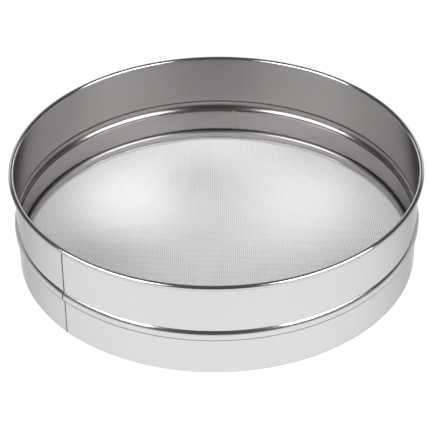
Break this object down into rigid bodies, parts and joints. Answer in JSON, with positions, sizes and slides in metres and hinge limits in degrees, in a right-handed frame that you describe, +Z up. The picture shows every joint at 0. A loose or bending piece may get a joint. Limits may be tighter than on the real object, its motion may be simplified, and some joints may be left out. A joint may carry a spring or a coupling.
{
  "type": "soil sieve",
  "caption": "Round steel soil sieve: drum with wired rim, bead and curled foot, and a fine woven wire cloth clamped near the bottom by a ring and an inner hoop.",
  "frame": {"origin": "centre of the drum on the plane that its foot stands on", "axes": "+Z up along the drum's axis, out of the open top; -Y is the side with the drum's seam on its left"},
  "size_m": [0.3, 0.3, 0.076],
  "materials": {
    "drum_steel": "bright rolled stainless sheet",
    "hoop_steel": "bright rolled stainless sheet",
    "wire_steel": "drawn stainless wire",
    "weld_steel": "planished weld"
  },
  "bodies": {
    "root": {"outer_hoop": "drum_steel", "outer_hoop_weld": "weld_steel", "rim_wire": "wire_steel", "inner_hoop": "hoop_steel", "inner_hoop_weld": "weld_steel", "clamp_ring": "hoop_steel", "clamp_ring_weld": "weld_steel", "warp_wires": "wire_steel", "weft_wires": "wire_steel"}
  },
  "joints": []
}
